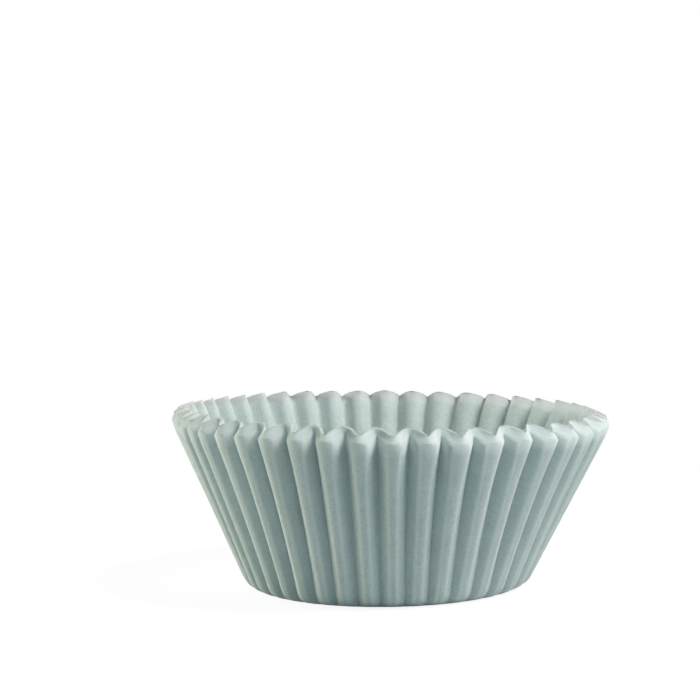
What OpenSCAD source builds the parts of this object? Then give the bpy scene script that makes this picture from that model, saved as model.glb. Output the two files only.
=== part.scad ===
// Fluted paper baking cup: round discs of paper pressed together into one pleated wall,
// standing on its flat base, with a crest of the wall facing -Y.

/* [Cup] */
// Diameter over the crests at the outer edge of the rim
rim_d = 80; // [66:1:96]
// Diameter over the crests where the wall would meet the table
foot_d = 51; // [40:1:58]
// Height of the outer edge of the rim on a crest
height = 30; // [22:1:42]
// Radius of the turn from the base into the wall, outside
foot_radius = 2.4; // [1:0.1:4]
// Radius of the turn from the base into the wall, inside
inner_foot_radius = 1.6; // [0.6:0.1:3]

/* [Flutes] */
// Number of flutes round the wall
flutes = 43; // [30:1:54]
// Depth of a flute at the rim
rim_depth = 2.9; // [1:0.1:4]
// Depth of a flute at the foot
foot_depth = 0.8; // [0.2:0.1:1.4]
// Width of a flute's flat crest at the rim
crest_w = 2.2; // [1:0.1:2.6]
// Width of the fold between two flutes at the rim
valley_w = 0.3; // [0.2:0.1:0.8]
// How much a flank bends: 0 is straight, and at 1 it leaves its crest level and ends twice as steep
flank_bend = 0.7; // [0:0.05:1]

/* [Paper] */
// Thickness of the pressed wall, square to its folds
wall = 1.5; // [1:0.1:2.4]
// Thickness of the flat base
base_t = 1.5; // [1:0.1:3]

/* [Rim] */
// Extra height of the rim's outer edge in a valley, over its height on a crest
valley_rise = 0.9; // [0:0.1:2]
// Height of the rim's inner edge on a crest, over the outer edge there
bevel_rise = 1.7; // [0.5:0.05:3]
// Extra height of the rim's inner edge in a valley, over its height on a crest
inner_rise = 1.25; // [0:0.05:2.4]

/* [Hidden] */

paper = [0.88, 0.91, 0.89];

// Flat facets round each turn at the foot, and steps in the search that offsets the folds
turn_steps = 3;
offset_steps = 24;

// Pitch of the flutes at the rim and at the foot, and how a flute shares it out
rim_pitch = PI * rim_d / flutes;
foot_pitch = PI * foot_d / flutes;
crest_share = crest_w / rim_pitch / 2;
valley_share = valley_w / rim_pitch / 2;
flank_share = 0.5 - crest_share - valley_share;

// Places across one flute that get a line of points: 0 is the middle of a crest, 0.5 of a valley
flank_stops = [0, 0.4, 0.75, 1];
half_flute = concat([0], [for (s = flank_stops) crest_share + flank_share * s]);
flute = concat(half_flute, [0.5], [for (k = [len(half_flute) - 1:-1:1]) 1 - half_flute[k]]);

// How deep a place across a flute lies: 0 on the crest, 1 in the valley
function fold(u) =
    let (s = min(max((abs(u - round(u)) - crest_share) / flank_share, 0), 1))
    s * (1 - flank_bend + flank_bend * s);

// Depth of the wall's inner face below the outer crests, where a round tool as wide as the wall
// follows the outer folds: valleys come out rounded and crests as sharp notches
function inner_depth(u, depth, pitch) =
    max([for (k = [-offset_steps:offset_steps])
        let (s = k / offset_steps)
        depth * fold(u + wall * s / pitch) + wall * sqrt(1 - s * s)]);

// Points of a round turn from a flat floor into a straight wall, from the floor upwards
function turn(corner, top, radius) =
    let (
        lean = atan2(top.y - corner.y, top.x - corner.x),
        centre = corner + [-radius * tan(lean / 2), radius]
    )
    [for (k = [0:turn_steps]) centre + radius * [sin(lean * k / turn_steps), -cos(lean * k / turn_steps)]];

// Section of the cup along one line of points, as [radius, height], from the middle of the
// underside out, up the outside, over the rim and down the inside
function section(u) =
    let (
        down = fold(u),
        foot = [foot_d / 2 - foot_depth * down, 0],
        edge = [rim_d / 2 - rim_depth * down, height + valley_rise * down],
        rim_in = inner_depth(u, rim_depth, rim_pitch),
        rim_in_crest = inner_depth(0, rim_depth, rim_pitch),
        rim_in_valley = inner_depth(0.5, rim_depth, rim_pitch),
        swell = (rim_in - rim_in_crest) / (rim_in_valley - rim_in_crest),
        inner_z = height + bevel_rise + inner_rise * swell,
        outer_r = foot.x + (edge.x - foot.x) * inner_z / edge.y,
        inner_edge = [outer_r + rim_depth * down - rim_in, inner_z],
        inner_foot = [foot.x + foot_depth * down - inner_depth(u, foot_depth, foot_pitch), 0],
        floor_corner = inner_foot + (inner_edge - inner_foot) * base_t / inner_z,
        outside = turn(foot, edge, foot_radius),
        inside = turn(floor_corner, inner_edge, inner_foot_radius)
    )
    concat(
        outside,
        [(outside[turn_steps] + edge) / 2, edge],
        [inner_edge, (inner_edge + inside[turn_steps]) / 2],
        [for (k = [turn_steps:-1:0]) inside[k]]
    );

// One closed skin: the section's lines of points stand side by side round the axis, and a fan
// of triangles closes the underside and the inner floor
module liner() {
    sections = [for (u = flute) section(u)];
    across = len(flute);
    around = across * flutes;
    rows = len(sections[0]);
    points = [
        for (i = [0:around - 1])
            let (
                turned = 360 / flutes * (floor(i / across) + flute[i % across]) - 90
            )
            for (p = sections[i % across]) [p.x * cos(turned), p.x * sin(turned), p.y]
    ];
    underside = len(points);
    floor_centre = underside + 1;
    skin = [
        for (i = [0:around - 1], j = [0:rows - 2])
            let (
                a = i * rows + j,
                b = (i + 1) % around * rows + j
            )
            each [[a, a + 1, b + 1], [a, b + 1, b]]
    ];
    fans = [
        for (i = [0:around - 1])
            let (
                a = i * rows,
                b = (i + 1) % around * rows
            )
            each [[underside, a, b], [floor_centre, b + rows - 1, a + rows - 1]]
    ];
    color(paper)
        polyhedron(
            points = concat(points, [[0, 0, 0], [0, 0, base_t]]),
            faces = concat(skin, fans),
            convexity = 10
        );
}

liner();
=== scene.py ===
"""Dresses a fluted paper baking cup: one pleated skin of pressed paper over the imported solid, with
its light and its camera."""

import math

import bpy
import numpy as np
from mathutils import Matrix, Vector


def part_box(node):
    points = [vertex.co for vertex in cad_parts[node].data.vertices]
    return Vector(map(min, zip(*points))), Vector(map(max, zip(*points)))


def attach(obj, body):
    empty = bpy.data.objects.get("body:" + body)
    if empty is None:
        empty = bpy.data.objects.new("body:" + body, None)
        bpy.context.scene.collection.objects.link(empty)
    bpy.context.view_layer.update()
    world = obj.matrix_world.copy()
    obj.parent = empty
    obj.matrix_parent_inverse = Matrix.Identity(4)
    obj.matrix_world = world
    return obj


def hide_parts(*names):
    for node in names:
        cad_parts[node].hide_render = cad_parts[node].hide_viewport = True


MM = 0.001
SEED = 96

# The cup's own sizes in millimetres: radius at the foot, height of the rim's outer edge on a crest, depth of
# a flute, thickness of the pressed wall and of the base, and how the rim's two edges rise
FLUTES = 43
FOOT_R = 25.6
CREST_Z = 29.85
RIM_DEPTH = 2.9
FOOT_DEPTH = 0.8
WALL = 1.5
BASE_T = 1.5
VALLEY_RISE = 0.9
BEVEL_RISE = 1.7
INNER_RISE = 1.25

# Radius of the turn from the base into the wall, inside, and outside, where it is softer than in the solid
INNER_FOOT_RADIUS = 1.6
FOOT_RADIUS = 4.2

# Half of a crest as a share of its flute, at the foot and at the rim; how late on the way up it widens;
# half of a valley's bottom; and half of a crest of the sheets inside, at the rim
CREST_SHARE_FOOT = 0.16
CREST_SHARE_RIM = 0.245
CREST_OPENING = 7
VALLEY_SHARE = 0.02
INNER_CREST_SHARE = 0.17

# Radius of the fold beside a crest, its least reach to each side, and the radius of the dip in a
# valley, in millimetres; and the most of a crest or flank that a fold or a dip takes
FOLD_RADIUS = 1.2
FOLD_LEAST = 0.08
DIP_RADIUS = 0.12
FOLD_MOST = 0.5
DIP_MOST = 0.3

# The share of a flank's first lean that its crest has at the fold, and how much a flank bends, both at
# the foot and at the rim: with a bend of 1 it leaves the crest level and ends twice as steep
CREST_ROUND_FOOT = 0.3
CREST_ROUND_RIM = 0.8
FLANK_BEND_FOOT = 0.3
FLANK_BEND_RIM = 0.8

# Steps in the search for the inner face
REACH_STEPS = 61

# A pressed paper cup isn't even: its flutes crowd together on the left and are deeper there, drift and
# fan out from the front towards the foot, sooner with a lower power, and its rim has moved over, in
# millimetres, and dips to the right
TURN_OFFSET = math.radians(0.38)
TURN_CROWDING = math.radians(4.8)
FOOT_DRIFT = math.radians(1.4)
FOOT_FAN = math.radians(5.9)
FOOT_POWER = 2
DEPTH_SKEW = 0.2
RIM_SHIFT = 0.97
RIM_DIP = math.tan(math.radians(1.41))

# How much single flutes differ: depth and crest width as shares, the rim's radius and height in
# millimetres, and the folds' places as shares of a flute
DEPTH_SPREAD = 0.06
WIDTH_SPREAD = 0.07
RADIUS_SPREAD = 0.1
HEIGHT_SPREAD = 0.1
FOLD_SPREAD = 0.03

# Points across half a flute, from the middle of the crest to the middle of the valley: the part
# that each lies on, and its share of that part
HALF_FLUTE = (("crest", 0.0), ("crest", 0.5), ("crest", 1.0), ("fold", 0.33), ("fold", 0.67), ("fold", 1.0),
              ("flank", 0.25), ("flank", 0.5), ("flank", 0.75), ("dip", 0.0), ("dip", 0.5), ("dip", 1.0),
              ("valley", 1.0))
PER_FLUTE = 2 * (len(HALF_FLUTE) - 1)
COLUMNS = FLUTES * PER_FLUTE

# Rings of points along the skin
TURN_RINGS = 6
WALL_RINGS = 12
BEVEL_RINGS = 18
INNER_RINGS = 14
FLAT_SHARES = (0.15, 0.35, 0.6, 0.8, 0.92)

# The rounding of the bevel's two edges: its size in millimetres, the share of the bevel that it takes,
# and how far it moves the outer edge in, the inner edge out and both down, as shares of its size
EDGE_ROUND = 0.3
LIP_SHARE = 0.2
OUTER_LIP_IN = 0.8
INNER_LIP_OUT = 0.5
LIP_DOWN = 0.5

# The steps between the sheets' edges, in millimetres, and the least share of that in a flute
SHEET_STEP = 0.035
STEP_LEAST = 0.3

# How soon over the bevel the tight folds of the outer sheet give way to the round ones inside: 1 is
# an even change, and higher is sooner
FOLD_OPENING = 2

# How much of a fold's painted highlight and wear is gone at the bevel's inner edge, the share of the bevel
# over which a valley's painted shade ends, and the share of the inner wall over which the rim's painted light
# and pale edge does
FOLD_MARK_LOST = 0.5
SHADE_END = 0.2
PALE_END = 0.125

# Share of the turn at the foot over which the flutes rise out of the round base
FLUTE_START = 0.8

# Camera, fitted to the outline of the cup in a picture of 700 x 700 pixels
PICTURE_PX = 700
FOCAL_PX = 2000
SENSOR_MM = 36.0
CAMERA_AT = Vector((0.0, -365.4, 65.5)) * MM
CAMERA_YAW = math.radians(-0.98)
CAMERA_PITCH = math.radians(3.49)
CAMERA_ROLL = math.radians(-0.89)
CLIP_START = 0.01

# Colour of the paper; of a highlight painted along its folds, with some wear, and of light painted on the
# rim, with the sheets' paler cut edges; of shade painted in its valleys; and how much of the last two shows
# along the folds, on the rim and in the valleys
PAPER = (0.69, 0.76, 0.74)
LIGHT_AND_WEAR_PAPER = (0.90, 0.94, 0.91)
SHADE_PAINT_IN_VALLEYS = (0.30, 0.36, 0.36)
FOLD_HIGHLIGHT_AND_WEAR = 0.4
RIM_LIGHT_AND_PALE_EDGE = 0.6
VALLEY_SHADE = 0.35

# The paper's mottle and fibres: noise scale, detail and roughness, their shares in the speckle, and the
# darkest and palest speckle as shares of the paper's colour
MOTTLE = (260, 4, 0.6)
FIBRE = (2300, 3, 0.6)
MOTTLE_SHARE = 0.3
FIBRE_SHARE = 0.7
SPECKLE_DARK = 0.66
SPECKLE_PALE = 1.3

# The lines of the sheets' edges on the bevel: lines per millimetre, and their colour and strength
LINES_PER_MM = 16
LINE_DARK = 0.8
LINE_SHARE = 0.45

PAPER_ROUGHNESS = 0.72
PAPER_SPECULAR = 0.3
PAPER_SCATTER = 0.2 * MM

# Relief of the paper: its strength, its height in metres, and shares of the fibres, mottle and lines
RELIEF_STRENGTH = 0.6
RELIEF_HEIGHT = 0.05 * MM
FIBRE_RELIEF = 0.5
MOTTLE_RELIEF = 1.2
LINE_RELIEF = 2.0

# The floor: half of its side and where it fades to plain white, in metres; the light that it throws
# back on the cup; and how much of the lamps' light and of its own glow it shows near the cup
FLOOR_HALF = 1.6
FLOOR_FADE = (0.07, 0.2)
FLOOR_BOUNCE = 0.5
FLOOR_SHADOW = 0.25
FLOOR_GLOW = 0.88

# The faint light from all round; the height that the lamps aim at and their distance, in metres; and
# each lamp: turned from the front towards +X and raised in degrees, width, height, watts and colour
WORLD_TINT = (0.72, 1.0, 1.0)
WORLD_LIGHT = 0.02
LAMP_AIM = 0.02
LAMP_DISTANCE = 0.6
LAMPS = (
    ("front_lamp", 0, 8, 0.2, 0.25, 0.45, (0.4, 0.84, 1)),
    ("right_lamp", 60, 8, 0.2, 0.25, 0.6, (0.72, 0.94, 1)),
    ("left_lamp", -78, 8, 0.2, 0.25, 0.65, (0.94, 1, 0.76)),
    ("left_side_lamp", -94, 6, 0.2, 0.25, 0.75, (0.95, 1, 0.88)),
    ("left_back_lamp", -112, 6, 0.2, 0.25, 1.55, (1, 0.98, 0.93)),
    ("key_lamp", 60, 52, 0.2, 0.25, 2.55, (1, 0.96, 0.93)),
    ("right_side_lamp", 98, 6, 0.2, 0.25, 0.52, (0.95, 1, 0.95)),
    ("back_lamp", 180, 35, 0.5, 0.4, 0.8, (0.95, 1, 0.97)),
)

# What is stored on each point of the mesh for the paper, and where it stands in a ring
# fold carries the highlight painted along the folds with some wear, rim the rim's painted light, pale edges
# and lines, valley the shade painted in the valleys
WEIGHTS = (("fold", 3), ("sheet", 4), ("rim", 5), ("valley", 6))

# The colour inputs and the colour output of a mixing node
MIX_INPUTS = (6, 7)
MIX_OUTPUT = 2


def socket(node, name, value):
    """Sets one input of a node."""
    node.inputs[name].default_value = value


def flute_columns():
    """For every column: its flute's number, its side of the crest, and its place in HALF_FLUTE."""
    half = len(HALF_FLUTE)
    one = [(1, k) for k in range(half)] + [(-1, k) for k in range(half - 2, 0, -1)]
    number = np.repeat(np.arange(FLUTES), PER_FLUTE)
    side = np.tile([s for s, k in one], FLUTES)
    place = np.tile([k for s, k in one], FLUTES)
    return number + (side < 0), side, place


def across(place, crest_share, depth, pitch, climb):
    """Where each column lies across its flute: its share of the pitch from the crest, and how deep.
    A half flute is an arched crest, a round fold, a bent flank and a round dip."""
    crest = crest_share * pitch
    run = (0.5 - VALLEY_SHARE) * pitch - crest
    flank_bend = FLANK_BEND_FOOT + (FLANK_BEND_RIM - FLANK_BEND_FOOT) * climb
    flank_lean = np.arctan2((1 - flank_bend) * depth, run)
    crest_lean = (CREST_ROUND_FOOT + (CREST_ROUND_RIM - CREST_ROUND_FOOT) * climb) * flank_lean
    bend = flank_lean - crest_lean
    dip_lean = np.arctan2((1 + flank_bend) * depth, run)
    fold_wanted = np.maximum(FOLD_RADIUS * np.tan(bend / 2), FOLD_LEAST)
    fold = np.minimum(fold_wanted, FOLD_MOST * np.minimum(crest, run))
    dip = np.minimum(DIP_RADIUS * np.tan(dip_lean / 2), DIP_MOST * run)
    fold_radius = fold / np.tan(bend / 2)
    dip_radius = dip / np.tan(dip_lean / 2)
    crest_half = crest - fold * np.cos(crest_lean)
    crest_down = -fold * np.sin(crest_lean)
    top = crest_down - crest_half * np.tan(crest_lean) / 2
    first = fold * np.cos(flank_lean) / run
    last = 1 - dip * np.cos(dip_lean) / run
    x, down = np.zeros(COLUMNS), np.zeros(COLUMNS)
    for k, (part, share) in enumerate(HALF_FLUTE):
        if part == "crest":
            part_x = share * crest_half
            part_down = top + (crest_down - top) * share ** 2
        elif part == "fold":
            lean = crest_lean + bend * share
            part_x = crest_half + fold_radius * (np.sin(lean) - np.sin(crest_lean))
            part_down = crest_down + fold_radius * (np.cos(crest_lean) - np.cos(lean))
        elif part == "flank":
            along = first + (last - first) * share
            part_x = crest + along * run
            part_down = depth * along * (1 - flank_bend + flank_bend * along)
        elif part == "dip":
            part_x = crest + run + dip - dip_radius * np.sin(dip_lean * (1 - share))
            part_down = depth - dip_radius * (1 - np.cos(dip_lean * (1 - share)))
        else:
            part_x = pitch / 2
            part_down = depth
        here = place == k
        x[here] = np.broadcast_to(part_x, COLUMNS)[here]
        down[here] = np.broadcast_to(part_down, COLUMNS)[here]
    return x / pitch, (down - top) * depth / (depth - top)


def spread(rng, amount):
    """A random value for each flute's crest, blended to the mean of its neighbours in the valleys."""
    own = rng.normal(0, amount, FLUTES)
    number, side, place = flute_columns()
    here = own[number % FLUTES]
    beside = own[(number + side) % FLUTES]
    weight = place / PER_FLUTE
    return here * (1 - weight) + beside * weight


def rounded(values):
    """A smooth step from 0 to 1."""
    v = np.clip(values, 0, 1)
    return v * v * (3 - 2 * v)


def inner_depth(share, depth, pitch):
    """Depth of the inner face below the outer crests, where a ball as thick as the wall rolls along
    the outer folds."""
    reach = np.linspace(-WALL, WALL, REACH_STEPS)[:, None]
    at = share[None, :] + reach / pitch
    off = np.abs(at - np.round(at))
    flank = 0.5 - VALLEY_SHARE - INNER_CREST_SHARE
    down = np.clip((off - INNER_CREST_SHARE) / flank, 0, 1) * depth
    return (down + np.sqrt(np.maximum(WALL * WALL - reach * reach, 0))).max(0)


def turn(corner_r, corner_z, lean, radius, share):
    """A point of the round turn from a flat floor into the wall, share 0 on the floor, 1 on the wall."""
    centre_r = corner_r - radius * np.tan(lean / 2)
    return centre_r + radius * np.sin(lean * share), corner_z + radius * (1 - np.cos(lean * share))


def skin_rings(rim_r):
    """All rings of the skin from the underside out, up, over the rim and down the inside: for each
    ring its radii, heights and places round the flutes, with the weights that the paper reads."""
    rng = np.random.default_rng(SEED)
    number, side, place = flute_columns()
    even = place / PER_FLUTE
    even_place = number + side * even
    depth_skew = DEPTH_SKEW * np.sin(2 * math.pi * even_place / FLUTES)
    depth_change = 1 + spread(rng, DEPTH_SPREAD) - depth_skew
    width_change = 1 + spread(rng, WIDTH_SPREAD)
    radius_change = spread(rng, RADIUS_SPREAD)
    height_change = spread(rng, HEIGHT_SPREAD)
    fold_change = spread(rng, FOLD_SPREAD)
    foot_fold_change = spread(rng, FOLD_SPREAD)

    # Columns on a fold beside a crest, and how deep each column lies: 0 on a crest, 1 in a valley
    folded = [part == "fold" or (part == "crest" and share == 1) for part, share in HALF_FLUTE]
    fold_line = np.array(folded, float)[place]
    # deep also weighs the shade painted in the valleys
    deep = across(place, CREST_SHARE_FOOT, 1.0, 1.0, 1.0)[1].clip(0, 1)

    foot_pitch = 2 * math.pi * FOOT_R / FLUTES
    rim_pitch = 2 * math.pi * rim_r / FLUTES
    rings = []

    def outer(climb):
        """The outer skin at a share of the way up the wall: place round the flutes, radius and height."""
        widening = (CREST_SHARE_RIM - CREST_SHARE_FOOT) * climb ** CREST_OPENING
        crest_share = (CREST_SHARE_FOOT + widening) * width_change
        depth = (FOOT_DEPTH + (RIM_DEPTH - FOOT_DEPTH) * climb) * depth_change
        pitch = foot_pitch + (rim_pitch - foot_pitch) * climb
        off, down = across(place, crest_share, depth, pitch, climb)
        sway = fold_change * climb + foot_fold_change * (1 - climb)
        radius = FOOT_R + (rim_r - FOOT_R) * climb + radius_change * climb - down
        height = (CREST_Z + height_change + VALLEY_RISE * down / depth) * climb
        return number + side * off + sway, radius, height

    def ring(radius, height, where, fold=0.0, sheet=0.0, rim=0.0, valley=0.0):
        """Adds one ring: its points, and how much of each weight it carries."""
        rings.append((radius, height, where, fold * fold_line, np.full(COLUMNS, sheet),
                      np.full(COLUMNS, rim), valley * deep))

    # Underside, the turn at the foot, and the outer wall
    foot_place, foot_r, foot_z = outer(0.0)
    edge_place, edge_r, edge_z = outer(1.0)
    lean = np.arctan2(edge_z, edge_r - foot_r)
    flat_r = float(np.mean(turn(foot_r, 0.0, lean, FOOT_RADIUS, 0.0)[0]))
    for flat in FLAT_SHARES:
        ring(np.full(COLUMNS, flat_r * flat), foot_z, foot_place)
    for k in range(TURN_RINGS + 1):
        share = k / TURN_RINGS
        r, z = turn(foot_r, 0.0, lean, FOOT_RADIUS, share)
        smooth_r, smooth_z = turn(np.mean(foot_r), 0.0, np.mean(lean), FOOT_RADIUS, share)
        start = rounded(share / FLUTE_START)
        low_climb = float(np.mean(z)) / CREST_Z
        where = outer(low_climb)[0]
        ring(smooth_r + (r - smooth_r) * start, smooth_z + (z - smooth_z) * start, where,
             fold=start, valley=start)
    for k in range(1, WALL_RINGS):
        climb = low_climb + (1 - low_climb) * k / WALL_RINGS
        where, r, z = outer(climb)
        ring(r, z, where, fold=1.0, valley=1.0)

    # The rim's bevel, over the edges of the pressed sheets
    inner_place = 0.5 * (edge_place + even_place)
    sunk = inner_depth(inner_place, RIM_DEPTH, rim_pitch)
    inner_share = np.abs(inner_place - number - 0.5 * fold_change)
    swell = 1 - (1 - 2 * inner_share) ** 2
    inner_z = CREST_Z + height_change + BEVEL_RISE + INNER_RISE * swell
    inner_r = FOOT_R + (rim_r - FOOT_R) * inner_z / CREST_Z + radius_change - sunk
    edge_down = rim_r + radius_change - edge_r
    for k in range(BEVEL_RINGS + 1):
        q = k / BEVEL_RINGS
        opened = 1 - (1 - q) ** FOLD_OPENING
        widened = (sunk - WALL - edge_down) * (opened - q)
        r = edge_r + (inner_r - edge_r) * q - widened
        z = edge_z + (inner_z - edge_z) * q
        step = SHEET_STEP * (1 if k % 2 else -1) * rng.uniform(STEP_LEAST, 1.0, FLUTES)[number % FLUTES]
        z = z + step * (0 < k < BEVEL_RINGS)
        outer_lip = EDGE_ROUND * rounded(1 - q / LIP_SHARE)
        inner_lip = EDGE_ROUND * rounded(1 - (1 - q) / LIP_SHARE)
        ring(r - OUTER_LIP_IN * outer_lip + INNER_LIP_OUT * inner_lip, z - LIP_DOWN * (outer_lip + inner_lip),
             edge_place + (inner_place - edge_place) * opened,
             fold=1 - FOLD_MARK_LOST * q, sheet=q * WALL, rim=1.0, valley=1 - rounded(q / SHADE_END))

    # The inner wall, the turn into the floor, and the floor
    inner_foot_r = FOOT_R - inner_depth(inner_place, FOOT_DEPTH, foot_pitch)
    corner_r = inner_foot_r + (inner_r - inner_foot_r) * BASE_T / inner_z
    inner_lean = np.arctan2(inner_z - BASE_T, inner_r - corner_r)
    low_r, low_z = turn(corner_r, BASE_T, inner_lean, INNER_FOOT_RADIUS, 1.0)
    for k in range(1, INNER_RINGS):
        fall = k / INNER_RINGS
        # The top of the inner wall carries the rim's painted light and pale edge, fading downwards
        ring(inner_r + (low_r - inner_r) * fall, inner_z + (low_z - inner_z) * fall, inner_place,
             rim=1 - rounded(fall / PALE_END))
    for k in range(TURN_RINGS, -1, -1):
        r, z = turn(corner_r, BASE_T, inner_lean, INNER_FOOT_RADIUS, k / TURN_RINGS)
        ring(r, z, inner_place)
    for flat in reversed(FLAT_SHARES):
        ring(r * flat, z, inner_place)
    return rings


def paper_skin(low, high):
    """The whole cup as one closed mesh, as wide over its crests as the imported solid."""
    rings = skin_rings((high.x - low.x) / 2 / MM)
    radius = np.array([r[0] for r in rings])
    height = np.array([np.broadcast_to(r[1], COLUMNS) for r in rings])
    even_turn = np.array([r[2] for r in rings]) * 2 * math.pi / FLUTES
    climb = height / CREST_Z
    below = np.clip(1 - climb, 0, 1) ** FOOT_POWER
    angle = even_turn + TURN_OFFSET + TURN_CROWDING * (1 - np.cos(even_turn))
    angle += below * (FOOT_DRIFT + FOOT_FAN * np.sin(even_turn))
    x = radius * np.sin(angle)
    points = np.stack([x + RIM_SHIFT * climb, -radius * np.cos(angle), height - climb * RIM_DIP * x], 2)
    hubs = np.array([[0, 0, 0], [RIM_SHIFT * BASE_T / CREST_Z, 0, BASE_T]])
    verts = np.concatenate([points.reshape(-1, 3), hubs]) * MM

    # Four-sided faces from ring to ring, and a fan of triangles round each hub
    i = np.arange(COLUMNS)
    j = (i + 1) % COLUMNS
    faces = []
    for first in range(0, (len(rings) - 1) * COLUMNS, COLUMNS):
        second = first + COLUMNS
        faces += np.stack([first + i, first + j, second + j, second + i], 1).tolist()
    under = len(verts) - 2
    last = (len(rings) - 1) * COLUMNS
    faces += np.stack([np.full(COLUMNS, under), j, i], 1).tolist()
    faces += np.stack([np.full(COLUMNS, under + 1), last + i, last + j], 1).tolist()

    mesh = bpy.data.meshes.new("paper_cup")
    mesh.from_pydata(verts.tolist(), [], faces)
    for name, place in WEIGHTS:
        layer = mesh.attributes.new(name, "FLOAT", "POINT")
        values = np.concatenate([np.array([r[place] for r in rings]).ravel(), [0, 0]])
        layer.data.foreach_set("value", values.astype(np.float32))
    mesh.polygons.foreach_set("use_smooth", [True] * len(mesh.polygons))
    mesh.update()
    piece = bpy.data.objects.new("paper_cup", mesh)
    bpy.context.scene.collection.objects.link(piece)
    return piece


def noise(tree, vector, scale, detail, rough=0.5):
    """A noise texture on the given vector, from 0 to 1."""
    node = tree.nodes.new("ShaderNodeTexNoise")
    socket(node, "Scale", scale)
    socket(node, "Detail", detail)
    socket(node, "Roughness", rough)
    tree.links.new(vector, node.inputs["Vector"])
    return node.outputs["Fac"]


def attribute(tree, name):
    """A weight stored on the mesh."""
    node = tree.nodes.new("ShaderNodeAttribute")
    node.attribute_name = name
    return node.outputs["Fac"]


def sums(tree, operation, first, second):
    """One sum with two values or sockets, such as MULTIPLY."""
    node = tree.nodes.new("ShaderNodeMath")
    node.operation = operation
    for place, value in enumerate((first, second)):
        if isinstance(value, (int, float)):
            node.inputs[place].default_value = value
        else:
            tree.links.new(value, node.inputs[place])
    return node.outputs[0]


def scaled(tree, value, factor):
    """A socket's value times a number."""
    return sums(tree, "MULTIPLY", value, factor)


def mixed(tree, weight, first, second):
    """A colour mixed by a weight; each colour is a tuple or a socket."""
    node = tree.nodes.new("ShaderNodeMix")
    node.data_type = "RGBA"
    tree.links.new(weight, node.inputs["Factor"])
    for place, value in zip(MIX_INPUTS, (first, second)):
        if isinstance(value, tuple):
            node.inputs[place].default_value = (*value, 1)
        else:
            tree.links.new(value, node.inputs[place])
    return node.outputs[MIX_OUTPUT]


def times(colour, factor):
    """A colour made lighter or darker by a factor."""
    return tuple(factor * c for c in colour)


def paper_material():
    """Matt greaseproof paper: speckled by its fibres, with shade painted in the valleys, a highlight painted
    along the folds with some wear, and light painted on the rim with the sheets' paler cut edges, where the
    edges of the sheets also show as fine lines."""
    material = bpy.data.materials.new("pressed_paper")
    material.use_nodes = True
    tree = material.node_tree
    shader = tree.nodes["Principled BSDF"]
    place = tree.nodes.new("ShaderNodeTexCoord").outputs["Object"]
    mottle = noise(tree, place, *MOTTLE)
    fibre = noise(tree, place, *FIBRE)
    fold = attribute(tree, "fold")
    sheet = attribute(tree, "sheet")
    rim = attribute(tree, "rim")
    valley = attribute(tree, "valley")

    layers = tree.nodes.new("ShaderNodeCombineXYZ")
    tree.links.new(scaled(tree, sheet, LINES_PER_MM), layers.inputs["X"])
    lines = noise(tree, layers.outputs[0], 1, 1)

    speckle = sums(tree, "ADD", scaled(tree, mottle, MOTTLE_SHARE), scaled(tree, fibre, FIBRE_SHARE))
    colour = mixed(tree, speckle, times(PAPER, SPECKLE_DARK), times(PAPER, SPECKLE_PALE))
    # Shade painted into the colour of the valleys, darker towards their bottoms
    colour = mixed(tree, scaled(tree, valley, VALLEY_SHADE), colour, SHADE_PAINT_IN_VALLEYS)
    # A highlight painted along the folds, with some wear
    colour = mixed(tree, scaled(tree, fold, FOLD_HIGHLIGHT_AND_WEAR), colour, LIGHT_AND_WEAR_PAPER)
    # Light painted on the rim, with the sheets' paler cut edges
    colour = mixed(tree, scaled(tree, rim, RIM_LIGHT_AND_PALE_EDGE), colour, LIGHT_AND_WEAR_PAPER)
    line_weight = sums(tree, "MULTIPLY", scaled(tree, rim, LINE_SHARE), lines)
    colour = mixed(tree, line_weight, colour, times(PAPER, LINE_DARK))
    tree.links.new(colour, shader.inputs["Base Color"])
    socket(shader, "Roughness", PAPER_ROUGHNESS)
    socket(shader, "Specular IOR Level", PAPER_SPECULAR)
    socket(shader, "Subsurface Weight", 1.0)
    socket(shader, "Subsurface Radius", (1.0, 1.0, 1.0))
    socket(shader, "Subsurface Scale", PAPER_SCATTER)

    paper_relief = sums(tree, "ADD", scaled(tree, fibre, FIBRE_RELIEF), scaled(tree, mottle, MOTTLE_RELIEF))
    line_relief = sums(tree, "MULTIPLY", scaled(tree, rim, LINE_RELIEF), lines)
    relief = sums(tree, "ADD", paper_relief, line_relief)
    bump = tree.nodes.new("ShaderNodeBump")
    socket(bump, "Strength", RELIEF_STRENGTH)
    socket(bump, "Distance", RELIEF_HEIGHT)
    tree.links.new(relief, bump.inputs["Height"])
    tree.links.new(bump.outputs[0], shader.inputs["Normal"])
    return material


def seen(tree):
    """1 for a ray that shows the background: from the camera, in a reflection or through glass."""
    path = tree.nodes.new("ShaderNodeLightPath")
    either = sums(tree, "MAXIMUM", path.outputs["Is Camera Ray"], path.outputs["Is Glossy Ray"])
    return sums(tree, "MAXIMUM", either, path.outputs["Is Transmission Ray"])


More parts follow.
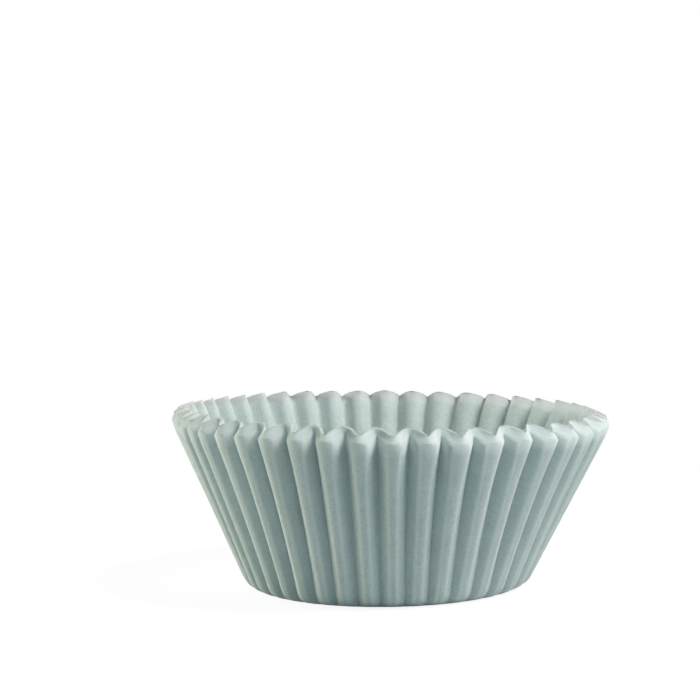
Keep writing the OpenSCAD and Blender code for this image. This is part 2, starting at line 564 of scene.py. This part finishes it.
def white_floor():
    """A white floor that takes the cup's soft shadow near it and is plain white further out."""
    mesh = bpy.data.meshes.new("floor")
    corners = [(x * FLOOR_HALF, y * FLOOR_HALF, 0) for x, y in ((-1, -1), (1, -1), (1, 1), (-1, 1))]
    mesh.from_pydata(corners, [], [(0, 1, 2, 3)])
    floor = bpy.data.objects.new("floor", mesh)
    bpy.context.scene.collection.objects.link(floor)
    material = bpy.data.materials.new("floor_white")
    material.use_nodes = True
    tree = material.node_tree
    tree.nodes.remove(tree.nodes["Principled BSDF"])

    # Seen by the camera: near the cup a lit surface that glows by itself, further out plain white;
    # the cup itself is lit by a plain grey surface
    bounce = tree.nodes.new("ShaderNodeBsdfDiffuse")
    socket(bounce, "Color", (*[FLOOR_BOUNCE] * 3, 1))
    lit = tree.nodes.new("ShaderNodeBsdfDiffuse")
    socket(lit, "Color", (*[FLOOR_SHADOW] * 3, 1))
    glow = tree.nodes.new("ShaderNodeEmission")
    socket(glow, "Strength", FLOOR_GLOW)
    near = tree.nodes.new("ShaderNodeAddShader")
    tree.links.new(lit.outputs[0], near.inputs[0])
    tree.links.new(glow.outputs[0], near.inputs[1])
    far = tree.nodes.new("ShaderNodeEmission")
    length = tree.nodes.new("ShaderNodeVectorMath")
    length.operation = "LENGTH"
    tree.links.new(tree.nodes.new("ShaderNodeTexCoord").outputs["Object"], length.inputs[0])
    fade = tree.nodes.new("ShaderNodeMapRange")
    fade.interpolation_type = "SMOOTHSTEP"
    socket(fade, "From Min", FLOOR_FADE[0])
    socket(fade, "From Max", FLOOR_FADE[1])
    tree.links.new(length.outputs["Value"], fade.inputs["Value"])
    shown = tree.nodes.new("ShaderNodeMixShader")
    tree.links.new(fade.outputs[0], shown.inputs[0])
    tree.links.new(near.outputs[0], shown.inputs[1])
    tree.links.new(far.outputs[0], shown.inputs[2])
    both = tree.nodes.new("ShaderNodeMixShader")
    tree.links.new(seen(tree), both.inputs[0])
    tree.links.new(bounce.outputs[0], both.inputs[1])
    tree.links.new(shown.outputs[0], both.inputs[2])
    tree.links.new(both.outputs[0], tree.nodes["Material Output"].inputs["Surface"])
    mesh.materials.append(material)


def white_world():
    """An even pale light from all round, shown as white."""
    world = bpy.data.worlds.new("studio")
    world.use_nodes = True
    tree = world.node_tree
    around = tree.nodes["Background"]
    socket(around, "Color", (*WORLD_TINT, 1))
    socket(around, "Strength", WORLD_LIGHT)
    shown = tree.nodes.new("ShaderNodeBackground")
    socket(shown, "Color", (1, 1, 1, 1))
    both = tree.nodes.new("ShaderNodeMixShader")
    tree.links.new(seen(tree), both.inputs[0])
    tree.links.new(around.outputs[0], both.inputs[1])
    tree.links.new(shown.outputs[0], both.inputs[2])
    tree.links.new(both.outputs[0], tree.nodes["World Output"].inputs["Surface"])
    bpy.context.scene.world = world


def soft_box(name, turned, raised, width, height, watts, colour):
    """A flat soft lamp that faces the cup, turned from the front towards +X and raised, in degrees."""
    lamp = bpy.data.lights.new(name, "AREA")
    lamp.shape = "RECTANGLE"
    lamp.size = width
    lamp.size_y = height
    lamp.energy = watts
    lamp.color = colour
    round_by = math.radians(turned)
    up_by = math.radians(raised)
    away = Vector((math.sin(round_by) * math.cos(up_by),
                   -math.cos(round_by) * math.cos(up_by),
                   math.sin(up_by)))
    thing = bpy.data.objects.new(name, lamp)
    thing.location = Vector((0, 0, LAMP_AIM)) + away * LAMP_DISTANCE
    thing.rotation_euler = away.to_track_quat("Z", "Y").to_euler()
    thing.visible_camera = False
    bpy.context.scene.collection.objects.link(thing)


def camera():
    """The camera at the photograph's place, from its yaw, pitch and roll."""
    forward = Vector((math.sin(CAMERA_YAW) * math.cos(CAMERA_PITCH),
                      math.cos(CAMERA_YAW) * math.cos(CAMERA_PITCH),
                      -math.sin(CAMERA_PITCH)))
    level = Vector((math.cos(CAMERA_YAW), -math.sin(CAMERA_YAW), 0))
    upright = level.cross(forward)
    right = level * math.cos(CAMERA_ROLL) + upright * math.sin(CAMERA_ROLL)
    up = right.cross(forward)
    lens = bpy.data.cameras.new("camera")
    lens.sensor_width = SENSOR_MM
    lens.lens = SENSOR_MM * FOCAL_PX / PICTURE_PX
    lens.clip_start = CLIP_START
    eye = bpy.data.objects.new("camera", lens)
    turned = Matrix((right, up, -forward)).transposed().to_4x4()
    eye.matrix_world = Matrix.Translation(CAMERA_AT) @ turned
    bpy.context.scene.collection.objects.link(eye)
    bpy.context.scene.camera = eye


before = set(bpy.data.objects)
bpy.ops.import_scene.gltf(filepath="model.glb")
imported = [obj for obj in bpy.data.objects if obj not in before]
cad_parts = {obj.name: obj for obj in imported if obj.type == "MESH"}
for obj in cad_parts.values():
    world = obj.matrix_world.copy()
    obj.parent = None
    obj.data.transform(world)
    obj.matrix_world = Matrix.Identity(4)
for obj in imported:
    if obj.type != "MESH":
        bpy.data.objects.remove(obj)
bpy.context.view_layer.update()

cup = paper_skin(*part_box("liner"))
cup.data.materials.append(paper_material())
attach(cup, "root")
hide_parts("liner")

white_floor()
white_world()
for lamp in LAMPS:
    soft_box(*lamp)
camera()
bpy.context.scene.view_settings.view_transform = "Standard"
